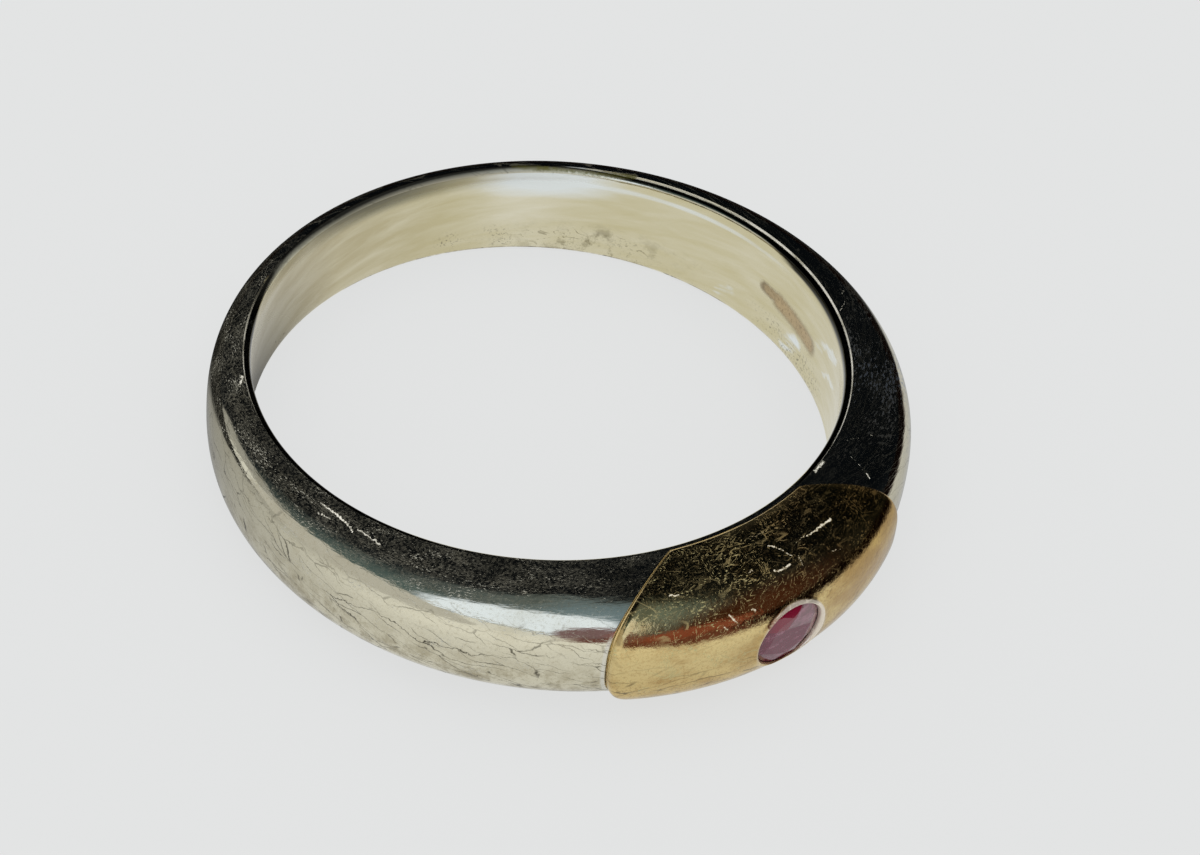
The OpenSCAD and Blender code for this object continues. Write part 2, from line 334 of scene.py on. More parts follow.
# Silver band: a superellipse section carried round the hole, closed by two quarter-round rims and the hole's straight
# wall. Inside the gold's outline it drops to the seat, and under the stone to a cone.
def makeBand():
    inner = np.sin(np.linspace(-math.pi / 2, math.pi / 2, band["seatColumns"]))
    bunch = band["outBunch"]
    rows = np.sin(np.linspace(-bunch, bunch, band["outRows"])) / math.sin(bunch)
    lipRows = 1 + (1 - seatShare) * np.array(band["lipShares"])
    v = np.concatenate([[-1.0], -lipRows[::-1], rows * (seatShare - band["seatEdge"]), lipRows, [1.0]])
    edge = goldEdge(v)[None, :]
    seatColumns = inner[:, None] * (edge - ring["draft"] / holeRadius)
    first = edge + np.array(band["besideGold"])[:, None] / (holeRadius + 1.0)
    last = 2 * math.pi - first[::-1]
    rest = np.linspace(0, 1, band["openColumns"] + 2)[1:-1][:, None]
    a = np.concatenate([seatColumns, first, first[-1] + (last[0] - first[-1]) * rest, last], 0)
    u = v[None, :] * rimAngle(a)
    # distance outside the outline in mm, and the drop that it gives
    turned = np.minimum(a % (2 * math.pi), (-a) % (2 * math.pi))
    beside = (turned - edge) * (holeRadius + section(a, u)[0])
    beyond = lengthBetween(seatShare, np.abs(v))[None, :] + 0 * beside
    away = np.hypot(np.maximum(beside, 0), np.maximum(beyond, 0))
    inside = (beside < -1e-6) & (beyond < -1e-6)
    r = band["grooveRadius"]
    drop = np.where(away < r, r - np.sqrt(np.clip(r * r - (r - np.clip(away, 0, r)) ** 2, 0, None)), 0.0)
    drop = np.where(inside, seatDrop(np.minimum(-beside, -beyond)), drop)
    skin = place(a, *raised(a, u, -drop))
    # the cone under the stone: where a seat point stands above it, it goes down to it
    x, y, out = inStone(skin)
    cone = culetOut - band["pitRoom"] + np.hypot(x, y) * stone["pavilion"] / stone["radius"]
    deeper = inside & (out > cone) & (np.abs(turned) < band["pitReach"])
    skin = np.where(deeper[..., None], fromStone(x, y, np.where(deeper, cone, out)), skin)
    # rims: a fine worn step that faces the hole, a nearly flat chamfer and a late turn into the wall. At the back they
    # are one soft round, and the wall flares out to it.
    rim = a[:, -1:]
    top = section(rim, rimAngle(rim))[1]
    worn = between(rim, *band["worn"])
    flare = band["flare"] + (band["backFlare"] - band["flare"]) * worn
    stepRows, stepWidth = band["stepRows"], band["stepWidth"]
    # shares of the way over the rim: the step, the chamfer, and ever closer rows in the turn
    late = 1 - 0.3 * np.linspace(0.8, 0, 8) ** 1.8
    f = np.concatenate([np.linspace(0.004, stepWidth, stepRows), np.linspace(0.2, 0.7, 6), late])[None, :]
    stepHeight = band["stepHeight"] * (1 - worn)
    n, m = (fresh + (soft - fresh) * worn for fresh, soft in zip(band["rimPowers"], band["wornPowers"]))
    fall = (ring["rimRound"] - stepHeight) * (1 - (1 - f ** n) ** m)
    fall = fall + stepHeight * np.clip(f / stepWidth, 0, 1)
    upper = place(rim + 0 * f, ring["rimRound"] + (flare - ring["rimRound"]) * f, top - fall)
    n, m = band["rimPowers"]
    fall = ring["rimRound"] * (1 - (1 - f ** n) ** m)
    lower = place(rim + 0 * f, ring["rimRound"] * (1 - f), fall - top)[:, ::-1]
    w = np.linspace(1, -1, band["wallRows"])[None, 1:-1]
    opened = flare * ramp(w, band["flareFrom"], 1 - band["flareFrom"]) ** 2
    wall = place(rim + 0 * w, opened, (top - ring["rimRound"]) * w)
    points = np.concatenate([skin, upper, wall, lower], 1)
    # attributes: the hole's wall and the height on it, then the worn and dirty parts, and the painted highlights and
    # shade
    outRows, rimRows = skin.shape[1], f.shape[1]
    onUpper, onWall = slice(outRows, outRows + rimRows), slice(outRows + rimRows, -rimRows)
    onStep = slice(outRows, outRows + stepRows)
    empty = np.zeros(points.shape[:2])
    hole, height, stepped, past = empty.copy(), empty.copy(), empty.copy(), empty - 1
    hole[:, outRows + rimRows - band["inHole"]:band["inHole"] - rimRows] = 1.0
    height[:, onUpper], height[:, onWall], height[:, -rimRows:] = 1.0, w, -1.0
    stepped[:, onStep] = 1.0
    past[:, onUpper], past[:, onWall] = f, 1 + band["halfWall"] * (1 - w)
    turn = rim + empty
    # tone of the hole's wall, from yellow film to clean metal, with a painted highlight patch round 147 degrees
    clean = 0.16 + 0.16 * between(turn, *band["lessYellow"]) + 0.55 * bell(turn, *band["highlightPatch"]) * (0.9 + 0.4 * height)
    middle, spread = band["lineHeight"]
    # painted highlights on the hole's wall: a patch below the upper rim, and a fine light line
    rubbedHighlight = 1.4 * bell(turn, *band["rubbedHighlight"]) * ramp(height, 0.3, 0.5)
    rubbedHighlight = rubbedHighlight + 0.8 * bell(turn, *band["highlightLine"]) * np.exp(-((height - middle) / spread) ** 2)
    # painted shade: darker low on the hole's wall, towards the back left
    lowShade = (0.75 - 0.5 * height) * between(turn, *band["lowShaded"])
    # painted black shade and tarnish, from the turn of the rim down the top of the wall
    reach = np.interp(np.degrees(turn) % 360, band["shadeAndTarnishAt"], band["shadeAndTarnishReach"])
    shadeAndTarnish = np.clip((reach - past) / (0.12 + 0.5 * worn) + 0.5, 0, 1) * (past >= 0)
    shadeAndTarnish[:, onStep] *= worn
    speckled = 0.01 + 0.99 * between(turn, *band["specks"]) + 0.65 * bell(turn, *band["coolSpecks"])
    # where the painted highlight on the rim's step lies: most round 62 degrees, and round 238
    brightRim = np.clip(bell(turn, *band["brightRim"]) * 1.6 + bell(turn, *band["brightRimLeft"]), 0, 1)
    # distance from the gold's left end, and far away elsewhere
    goldAway = empty + 9
    leftOutside = ~inside & (a % (2 * math.pi) >= math.pi)
    goldAway[:, :outRows] = np.where(leftOutside, np.minimum(away, 9), 9)
    # the map's second value starts at the top of the hole's wall, so that patterns run straight along it
    lengths = np.cumsum(np.linalg.norm(np.diff(wrapped(points), axis=1), axis=-1), 1)
    lengths = np.concatenate([0 * lengths[:, :1], lengths], 1)
    lengths = lengths - lengths[:, outRows + rimRows][:, None]
    along = np.concatenate([a[:, :1], a[:1, :1] + 2 * math.pi], 0) * (holeRadius + 1.2) + 0 * lengths
    piece = closedGrid("silverBand", points, along, lengths, {
        "hole": hole, "wallHeight": height, "clean": clean, "rubbedHighlight": rubbedHighlight * hole, "lowShade": lowShade * hole,
        "topShade": 0.6 * bell(turn, *band["shaded"]) * ramp(height, 0.7, 0.2) * hole,
        "grimy": bell(turn, *band["grimy"]) * ramp(height, -0.2, -0.4) * hole, "shadeAndTarnish": shadeAndTarnish,
        "satin": ramp(past, 0, 0.3) * ramp(past, 1.6, -0.5) * worn, "speckled": speckled * (1 - hole),
        "rimEdgeHighlight": stepped * brightRim * (1 - worn), "goldAway": goldAway,
    })
    print("band:", points.shape[0], "by", points.shape[1])
    return piece


# Skin of the gold: s and t run from -1 to 1 along and across it
def goldSkin(s, t, top):
    v = t * (goldShare if top else underShare)
    half = goldEdge(v) - (ring["play"] + (0 if top else ring["draft"])) / holeRadius
    a = s * half
    u = v * rimAngle(a)
    rise = goldRise(s, t, half, u) if top else ring["play"] - seatDrop(borderAway(s, t, half, u).min(0))
    return place(a, *raised(a, u, rise))


# Circle where a skin meets the hole for the stone: Newton steps on s and t for the stone's own x and y, with a radius
# that depends on how far out the skin is there
def holeOnSkin(angle, top, radiusAt):
    s, t = 0.2 * np.cos(angle), 0.35 * np.sin(angle)
    step, most = 1e-5, 0.2

    def miss(s, t):
        x, y, out = inStone(goldSkin(s, t, top))
        r = radiusAt(out)
        return np.stack([x - r * np.cos(angle), y - r * np.sin(angle)])
    for attempt in range(14):
        here = miss(s, t)
        ds, dt = (miss(s + step, t) - here) / step, (miss(s, t + step) - here) / step
        size = ds[0] * dt[1] - ds[1] * dt[0]
        s = s - np.clip((here[0] * dt[1] - here[1] * dt[0]) / size, -most, most)
        t = t - np.clip((ds[0] * here[1] - ds[1] * here[0]) / size, -most, most)
    return s, t


# Gold saddle: rings from its outline to the stone, down the hole and back under it, closed both ways
def makeGold():
    onEnd, onEdge = int(gold["around"] * gold["endShare"]), int(gold["around"] * gold["edgeShare"])
    even = np.linspace(-1, 1, onEnd + 1)[:-1]
    ends = 0.5 * np.sin(even * math.pi / 2) + 0.5 * even
    rims = np.linspace(-1, 1, onEdge + 1)[:-1]
    s = np.concatenate([rims, 1 + 0 * ends, -rims, -1 + 0 * ends])
    t = np.concatenate([-1 + 0 * rims, ends, 1 + 0 * rims, -ends])
    x, y = inStone(goldSkin(s, t, True))[:2]
    angle = np.arctan2(y, x)
    wide, mouth = stone["radius"] + ring["play"], stone["radius"] - stone["lip"]
    wallTop, wallLow = tableOut - stone["crown"] + ring["play"], girdleLow - 2 * ring["play"]
    lipLow = wallTop + stone["crown"] * stone["lip"] / (stone["radius"] * (1 - stone["table"]))
    lipTop = lipLow + stone["lipThick"]
    seatHigh = wide * stone["pavilion"] / stone["radius"]
    coneFrom = wallLow - seatHigh
    hs, ht = holeOnSkin(angle, True, lambda out: mouth + np.clip(out - lipTop, 0.02, 0.3))
    us, ut = holeOnSkin(angle, False, lambda out: np.clip((out - coneFrom) * wide / seatHigh, 0.15, wide))

    # a skin between the outline, where the share is 0, and the hole, where it is 1
    def skinTo(share, holeS, holeT, top):
        share = share[None, :]
        across = [line[:, None] * (1 - share) + end[:, None] * share for line, end in ((s, holeS), (t, holeT))]
        return goldSkin(*across, top)

    def ringAt(radius, out):
        return fromStone(radius * np.cos(angle)[:, None], radius * np.sin(angle)[:, None], out + 0 * angle[:, None])
    top = skinTo(np.linspace(0, 1, gold["across"]) ** gold["bunch"], hs, ht, True)
    under = skinTo(np.linspace(1, 0, gold["underRows"]), us, ut, False)
    # a burnished bead stands round the bevel: the skin is lifted by a soft bump beside the hole
    px, py = inStone(top)[:2]
    rimR = np.hypot(px[:, -1:], py[:, -1:])
    bump = stone["bead"] * eased(ramp(np.hypot(px, py) - rimR, stone["beadWidth"], -stone["beadWidth"]))
    top = top + bump[..., None] * stoneAxis
    # the bevel: a quarter round from the skin to the lip
    outTop = inStone(top[:, -1])[2][:, None]
    share = np.linspace(0, 1, gold["bevelRows"])[None, 1:-1]
    bevel = ringAt(rimR + (mouth - rimR) * share, outTop + (lipTop - outTop) * (1 - np.sqrt(1 - share ** 2 * 0.999)))
    walls = [ringAt(r, out) for r, out in ((mouth, lipTop), (mouth, lipLow), (wide, wallTop), (wide, wallLow))]
    outUnder = inStone(under[:, 0])[2][:, None]
    coneOut = wallLow + (outUnder - wallLow) * np.linspace(0, 1, gold["coneRows"])[None, 1:-1]
    cone = ringAt((coneOut - coneFrom) * wide / seatHigh, coneOut)
    points = np.concatenate([top, bevel] + walls + [cone, under], 1)
    # attributes: distance to the outline and to the stone
    edgeAway = np.zeros(points.shape[:2])
    edgeAway[:, 1:top.shape[1]] = np.cumsum(np.linalg.norm(np.diff(top, axis=1), axis=-1), 1)
    px, py = inStone(points)[:2]
    # the map runs along the ring, and round the section by the angle from the hole's wall
    x, y, z = np.moveaxis(wrapped(points), -1, 0)
    turn = np.arctan2(x, -y)
    over = np.arctan2(z - lean * np.cos(turn), np.hypot(x, y) - holeRadius)
    piece = closedGrid("goldInlay", points, turn * (holeRadius + ring["thickFront"]),
                       over * ring["thickFront"], {"edgeAway": edgeAway, "stoneAway": np.hypot(px, py) - wide})
    piece.data.set_sharp_from_angle(angle=math.radians(gold["sharp"]))
    print("gold:", points.shape[0], "by", points.shape[1])
    return piece


# Brilliant cut: rings of corners for the table, the star points, the girdle and the pavilion, closed by their hull
def makeStone():
    def cornerRing(count, radius, out, turn=0.0):
        angle = 2 * math.pi * (np.arange(count) + turn) / count
        return fromStone(radius * np.cos(angle), radius * np.sin(angle), out + 0 * angle)
    r, flat = stone["radius"], math.cos(math.pi / 8)
    tableR, starR, lowerR = (r * stone[part] for part in ("table", "star", "lower"))
    girdleTop = tableOut - stone["crown"]
    corners = np.concatenate([
        cornerRing(8, tableR, tableOut),
        cornerRing(8, starR, girdleTop + stone["crown"] * (r - starR * flat) / (r - tableR), 0.5),
        cornerRing(16, r, girdleTop),
        cornerRing(16, r, girdleLow),
        cornerRing(8, lowerR, girdleLow - stone["pavilion"] * (r - lowerR * flat) / r, 0.5),
        cornerRing(1, 0.0, culetOut),
    ])
    form = bmesh.new()
    for corner in corners:
        form.verts.new(corner * mm)
    bmesh.ops.convex_hull(form, input=form.verts)
    bmesh.ops.dissolve_limit(form, angle_limit=math.radians(1), verts=form.verts, edges=form.edges)
    bmesh.ops.recalc_face_normals(form, faces=form.faces)
    mesh = bpy.data.meshes.new("rubyStone")
    form.to_mesh(mesh)
    form.free()
    piece = newObject("rubyStone", mesh)
    softer = piece.modifiers.new("softer facet edges", "BEVEL")
    softer.width = stone["softEdge"] * mm
    softer.segments = 2
    softer.limit_method = "ANGLE"
    softer.angle_limit = math.radians(4)
    print("stone:", len(mesh.polygons), "facets")
    return piece


silverBand = makeBand()
goldInlay = makeGold()
rubyStone = makeStone()


# sRGB hex to the linear colour that the nodes take
def colour(hexText):
    parts = [int(hexText[k:k + 2], 16) / 255 for k in (1, 3, 5)]
    return tuple(p / 12.92 if p <= 0.04045 else ((p + 0.055) / 1.055) ** 2.4 for p in parts) + (1.0,)


# Adds one node with its settings. A value that is a node or a socket is linked, a hex text is set as its colour, and
# any other is set as it is.
def add(tree, kind, settings, values):
    made = tree.nodes.new("ShaderNode" + kind)
    for key, value in settings.items():
        setattr(made, key, value)
    for key, value in values.items():
        if isinstance(value, bpy.types.Node):
            value = [o for o in value.outputs if o.enabled][0]
        if isinstance(value, bpy.types.NodeSocket):
            tree.links.new(value, made.inputs[key])
        else:
            made.inputs[key].default_value = colour(value) if isinstance(value, str) else value
    return made


# New material, its tree, and the object coordinates in it
def newMaterial(name):
    material = bpy.data.materials.new(name)
    material.use_nodes = True
    tree = material.node_tree
    tree.nodes.clear()
    return material, tree, add(tree, "TexCoord", {}, {}).outputs["Object"]


# Product of masks, or the largest of them with how set to MAXIMUM. Each is a number, a node, or a soft rise: value,
# low, high, height and least, which goes from least to height while the value goes from low to high. The last two
# may be left out and are 1 and 0 then.
def mask(tree, *parts, how="MULTIPLY"):
    total = None
    for part in parts:
        if isinstance(part, tuple):
            value, low, high, height, least = part + (1.0, 0.0)[len(part) - 3:]
            part = add(tree, "MapRange", {"interpolation_type": "SMOOTHSTEP"},
                       {0: value, 1: low, 2: high, 3: least, 4: height})
        total = part if total is None else add(tree, "Math", {"operation": how}, {0: total, 1: part})
    return total


# Colour coats over a base. Each is a colour and the masks whose product says where it lies.
def coated(tree, base, *coats):
    for tint, *masks in coats:
        base = add(tree, "Mix", {"data_type": "RGBA"}, {0: mask(tree, *masks), 6: base, 7: tint})
    return base


onMap = {"noise_dimensions": "2D"}            # a noise that lies on the UV map
multiplyAdd = {"operation": "MULTIPLY_ADD"}   # the first value times the second, plus the third


# Fine specks: two noises stretched along the surface, of which only the peaks stay
def speckMask(tree, uv, size, stretch, share, seed):
    scaled = add(tree, "Mapping", {}, {0: uv, 1: (seed * 5.3, seed * 8.7, 0), 3: (1 / (size * stretch), 1 / size, 1)})
    grain = add(tree, "TexNoise", onMap, {"Vector": scaled, "Scale": 1.0, "Detail": 2.0, "Roughness": 0.6})
    patches = add(tree, "TexNoise", onMap, {"Vector": scaled, "Scale": 0.09, "Detail": 3.0})
    both = add(tree, "Math", multiplyAdd, {0: patches, 1: 0.6, 2: grain})
    return mask(tree, (both, 1.02 - share, 1.14 - share))


# Values of a mapping that draws a pattern out: units of length along the ring and width across it in mm, turned by a
# lean in degrees and moved by a seed
def drawn(uv, length, width, lean=0.0, seed=0):
    return {0: uv, 1: (seed * 2.7, seed * 4.9, 0), 2: (0.0, 0.0, math.radians(lean)), 3: (length, width, 1)}


# A noise drawn out in this way
def drawnNoise(tree, uv, length, width, lean, detail, roughness, distortion=0.0):
    scaled = add(tree, "Mapping", {"vector_type": "TEXTURE"}, drawn(uv, length, width, lean))
    return add(tree, "TexNoise", onMap, {"Vector": scaled, "Scale": 1.0, "Detail": detail, "Roughness": roughness,
                                         "Distortion": distortion})


# Cracks: the borders of long cells, bent by a noise and thinned out by a second one
def crackMask(tree, uv, size, stretch, width, lean, seed):
    bend = add(tree, "TexNoise", onMap, {"Vector": uv, "Scale": 0.8, "Detail": 5.0, "Roughness": 0.6})
    bent = add(tree, "VectorMath", multiplyAdd, {0: bend.outputs["Color"], 1: (size * 1.3,) * 3, 2: uv})
    scaled = add(tree, "Mapping", {"vector_type": "TEXTURE"}, drawn(bent, size * stretch, size, lean, seed))
    cells = add(tree, "TexVoronoi", {"voronoi_dimensions": "2D", "feature": "DISTANCE_TO_EDGE"},
                {"Vector": scaled, "Scale": 1.0})
    patches = add(tree, "TexNoise", onMap, {"Vector": scaled, "Scale": 1.1, "Detail": 4.0})
    return mask(tree, (cells, width / size, width / size * 0.2), (patches, 0.4, 0.6))


# Crinkles: the crests of a ridged noise, kept in patches
def crinkleMask(tree, uv, size, stretch, lean, seed):
    scaled = add(tree, "Mapping", {"vector_type": "TEXTURE"}, drawn(uv, size * stretch, size, lean, seed))
    ridges = add(tree, "TexNoise", {**onMap, "noise_type": "RIDGED_MULTIFRACTAL", "normalize": False},
                 {"Vector": scaled, "Scale": 1.0, "Detail": 3.0, "Roughness": 0.5, "Lacunarity": 2.1, "Offset": 0.9,
                  "Gain": 1.2, "Distortion": 0.5})
    patches = add(tree, "TexNoise", onMap, {"Vector": scaled, "Scale": 0.3, "Detail": 3.0})
    return mask(tree, (ridges, 0.95, 1.15), (patches, 0.42, 0.6))


# Places for marks: on the outside by direction in degrees and share of the section (1 at the upper rim), on the hole's
# wall by direction and share of its height, and on the gold by its own two shares
def onBand(degrees, v):
    a = np.radians(degrees)
    return Vector(place(a, *section(a, v * rimAngle(a))))


def onWall(degrees, share):
    a = np.radians(degrees)
    return Vector(place(a, 0.0, section(a, rimAngle(a))[1] * share))


def onGold(s, t):
    return Vector(goldSkin(np.array(float(s)), np.array(float(t)), True))


# Single scratches and stains: each is the stretch between two places, with a width in mm and a strength. A point is in
# it where its distance from that stretch is small.
def markMask(tree, spot, at, marks):
    total = 0.0
    for start, end, width, strength in marks:
        start, end = at(*start) * mm, at(*end) * mm
        way = end - start
        away = add(tree, "VectorMath", {"operation": "SUBTRACT"}, {0: spot, 1: start})
        share = add(tree, "VectorMath", {"operation": "DOT_PRODUCT"}, {0: away, 1: way / way.length_squared})
        share = add(tree, "Math", {"operation": "ADD", "use_clamp": True}, {0: share, 1: 0.0})
        rest = add(tree, "VectorMath", multiplyAdd, {0: share, 1: -way, 2: away})
        far = add(tree, "VectorMath", {"operation": "LENGTH"}, {0: rest})
        total = mask(tree, (far, width * mm, width * mm * 0.35, strength), total, how="MAXIMUM")
    return total


# Object coordinates shaken by a fine noise, so that a straight mark comes out ragged
def shaken(tree, spot, size, amount):
    noise = add(tree, "TexNoise", {}, {"Vector": spot, "Scale": 1 / (size * mm), "Detail": 2.0})
    around = add(tree, "VectorMath", {"operation": "SUBTRACT"}, {0: noise.outputs["Color"], 1: (0.5, 0.5, 0.5)})
    return add(tree, "VectorMath", multiplyAdd, {0: around, 1: (amount * mm,) * 3, 2: spot})


# The metal itself: its matt share mirrors nothing, and fine waves lie in the surface
def finishMetal(tree, base, matt, rough, waves):
    metal = add(tree, "Math", {"operation": "SUBTRACT", "use_clamp": True}, {0: 1.0, 1: matt})
    relief = add(tree, "Bump", {}, {"Height": waves, "Strength": 1.0, "Distance": 0.012 * mm})
    shader = add(tree, "BsdfPrincipled", {},
                 {"Base Color": base, "Roughness": rough, "Metallic": metal, "Normal": relief})
    add(tree, "OutputMaterial", {}, {0: shader})


silverLook = {
    "metal": "#EEE8CF",       # silver that has gone a little warm
    "dull": "#C4B996",        # the yellow film in the finger hole, lighter to the right
    "dullLight": "#D8CEA4",
    "rubbedHighlight": "#F3F8F6",      # painted highlight on the finger hole's wall
    "wear": "#C4C2B4",        # specks, and those right of the gold
    "coolWear": "#8595AE",
    "scratch": "#F4F0E4",
    "grime": "#3A3322",
    "wallGrime": "#6E6440",
    "brown": "#8E7F58",       # film low on the outside
    "lowShade": "#4B4633",       # painted shade, darkest low in the finger hole
    "shade": "#39423F",
    "stain": "#C2AB82",
    "stainEdge": "#7A6442",
    "olive": "#5A5812",
    "blackShadeAndTarnish": "#0E0F0C",   # painted shade and tarnish: black in the turn of the rim
    "satin": "#D5D3BE",       # where the rim is worn soft
    "lip": "#E4E2D8",         # painted highlight: a light line beside the gold's left end
    "roughness": 0.05,
    "holeRoughness": 0.1,     # and how much more it is in the finger hole
    # clouds, grain and blots: size in mm, detail and roughness of the noise
    "noises": ((1.8, 5.0, 0.6), (0.09, 4.0, 0.65), (0.75, 8.0, 0.72)),
    # marks: from, to, width, strength
    "scratches": (
        ((-80, 0.87), (-76, 0.86), 0.03, 0.9),
        ((-76, 0.86), (-73, 0.83), 0.045, 1.0),
        ((-73, 0.83), (-71.5, 0.785), 0.035, 1.0),
        ((-71, 0.84), (-67, 0.81), 0.03, 0.8),
        ((-67.5, 0.82), (-66, 0.79), 0.035, 0.7),
        ((-79, 0.76), (-76.5, 0.775), 0.03, 0.7),
        ((-37.5, 0.86), (-27, 0.62), 0.014, 0.5),
        ((20.5, 0.985), (23.5, 0.985), 0.06, 1.0),
        ((26.1, 0.60), (26.4, 0.63), 0.035, 1.0),
        ((26.3, 0.63), (27.8, 0.84), 0.012, 0.7),
        ((31, 0.93), (36, 0.70), 0.012, 0.4),
        ((68, 0.98), (70.8, 0.86), 0.016, 0.6),
        ((73, 0.84), (74.3, 0.78), 0.02, 0.6),
        ((243, 0.97), (245, 0.92), 0.05, 0.8),
    ),
    "stainEdges": (           # a worn brown patch in the finger hole: its rim, then its middle
        ((74, -0.13), (87, -0.03), 0.45, 0.7),
        ((87, -0.01), (91.5, 0.02), 0.31, 0.8),
    ),
    "stains": (
        ((74.6, -0.13), (86.7, -0.03), 0.36, 1.0),
        ((87, -0.01), (90.6, 0.02), 0.22, 0.7),
    ),
    # painted highlights: light patches on the hole's wall
    "highlightSpots": (
        ((79, -0.5), (84, -0.72), 0.35, 1.0),
        ((60, 0.55), (71, 0.12), 0.22, 0.8),
        ((55, 0.2), (66, -0.2), 0.15, 0.6),
        ((101, -0.6), (103.5, -0.75), 0.25, 0.7),
    ),
    "oliveStains": (
        ((126, 1.0), (150, 1.0), 0.16, 0.9),
    ),
}


# Sterling silver, cast, polished and long worn: a mirror broken up by fine specks and wrinkles, with dirt in them, and
# yellowed where the finger hole can't be rubbed clean. Highlights and shade are painted in the hole and on the rims.
def makeSilver():
    look = silverLook
    material, tree, spot = newMaterial("polishedSterlingSilver")
    axes = add(tree, "SeparateXYZ", {}, {0: spot}).outputs
    x, z = axes["X"], axes["Z"]
    uv = add(tree, "UVMap", {"uv_map": "surface"}, {})
    names = ("hole", "wallHeight", "clean", "rubbedHighlight", "lowShade", "topShade", "grimy", "shadeAndTarnish", "satin", "speckled",
             "rimEdgeHighlight", "goldAway")
    on = {name: add(tree, "Attribute", {"attribute_name": name}, {}).outputs["Fac"] for name in names}
    ragged = shaken(tree, spot, 0.1, 0.14)
    clouds, grain, blots = (
        add(tree, "TexNoise", {}, {"Vector": spot, "Scale": 1 / (size * mm), "Detail": detail, "Roughness": rough})
        for size, detail, rough in look["noises"])
    # soft streaks run round the ring in the finger hole, where it was turned
    streaks = drawnNoise(tree, uv, 3.0, 0.45, 5, 6.0, 0.6, 0.3)
    streaks = add(tree, "MapRange", {}, {0: streaks, 1: 0.25, 2: 0.75, 3: -0.3, 4: 0.3})
    tone = add(tree, "Math", {"operation": "ADD", "use_clamp": True}, {0: on["clean"], 1: streaks})
    # painted highlights on the hole's wall: lighter streaks, the patch and line below the rim, and the spots
    lit = add(tree, "Math", {**multiplyAdd, "use_clamp": True}, {0: streaks, 1: 0.6, 2: on["rubbedHighlight"]})
    spots = markMask(tree, shaken(tree, spot, 0.5, 0.5), onWall, look["highlightSpots"])
    lit = mask(tree, mask(tree, lit, (on["rubbedHighlight"], 0.02, 0.4)), mask(tree, spots, (streaks, -0.2, 0.15)),
               how="MAXIMUM")
    # the finger hole: yellow film and its tone, with painted highlights and painted shade
    inside = coated(
        tree, look["dull"],
        (look["dullLight"], (x, -3.0 * mm, 5.0 * mm)),
        (look["metal"], tone),
        (look["rubbedHighlight"], lit),
        (look["lowShade"], on["lowShade"]),
        (look["shade"], on["topShade"]),
    )
    # painted highlight: a light strip on the silver beside the gold's left end
    lip = mask(tree, (on["goldAway"], 0.17, 0.10), (z, 1.5 * mm, 1.1 * mm), (clouds, 0.35, 0.55, 0.75, 0.25))
    outside = coated(
        tree, look["metal"],
        (look["dull"], (clouds, 0.45, 0.75, 0.35)),
        (look["brown"], (z, 0.9 * mm, -1.2 * mm), (blots, 0.42, 0.62, 0.75)),
        (look["brown"], (grain, 0.5, 0.72, 0.3)),
        (look["lip"], lip),
        (look["satin"], on["satin"]),
    )
    # specks of 0.05 mm: rough and light, so they show where the metal mirrors the dim room. Right of the gold they
    # are larger and fainter.
    toRight = mask(tree, (x, 2.5 * mm, 4.5 * mm))
    toLeft = mask(tree, (x, 4.5 * mm, 2.5 * mm, 1.0, 0.12))
    few = mask(tree, speckMask(tree, uv, 0.05, 2.0, 0.045, 1), 0.9)
    many = mask(tree, speckMask(tree, uv, 0.045, 2.6, 0.16, 6), 0.14)
    blotches = mask(tree, speckMask(tree, uv, 0.11, 1.7, 0.12, 8), 0.26, toRight)
    fleck = mask(tree, mask(tree, few, many, how="MAXIMUM"), toLeft)
    fleck = mask(tree, mask(tree, fleck, blotches, how="MAXIMUM"), on["speckled"])
    tint = coated(tree, look["wear"], (look["coolWear"], toRight))
    tinted = add(tree, "Math", {**multiplyAdd, "use_clamp": True}, {0: mask(tree, fleck, toRight), 1: 4.0, 2: fleck})
    # scratches, and a painted highlight on the rim's worn step, bright at any angle
    edge = mask(tree, on["rimEdgeHighlight"], (clouds, 0.35, 0.55, 1.0, 0.1))
    marks = mask(tree, markMask(tree, ragged, onBand, look["scratches"]), (grain, 0.36, 0.54, 1.0, 0.25))
    marks = mask(tree, marks, edge, how="MAXIMUM")
    # dirt in two sets of hair-fine cracks, mostly low on the outside, and in grains low in the finger hole
    cracks = mask(tree, crackMask(tree, uv, 0.55, 5.0, 0.016, -12, 2),
                  mask(tree, crackMask(tree, uv, 0.3, 6.0, 0.012, -22, 7), 0.8), how="MAXIMUM")
    cracks = mask(tree, cracks, (z, 2.0 * mm, 0.3 * mm, 0.95, 0.05))
    grains = mask(tree, (grain, 0.54, 0.64, 0.9), (clouds, 0.46, 0.62), (on["wallHeight"], -0.3, -0.8, 0.7))
    dirt = add(tree, "Mix", {"data_type": "FLOAT"}, {0: on["hole"], 2: cracks, 3: grains})
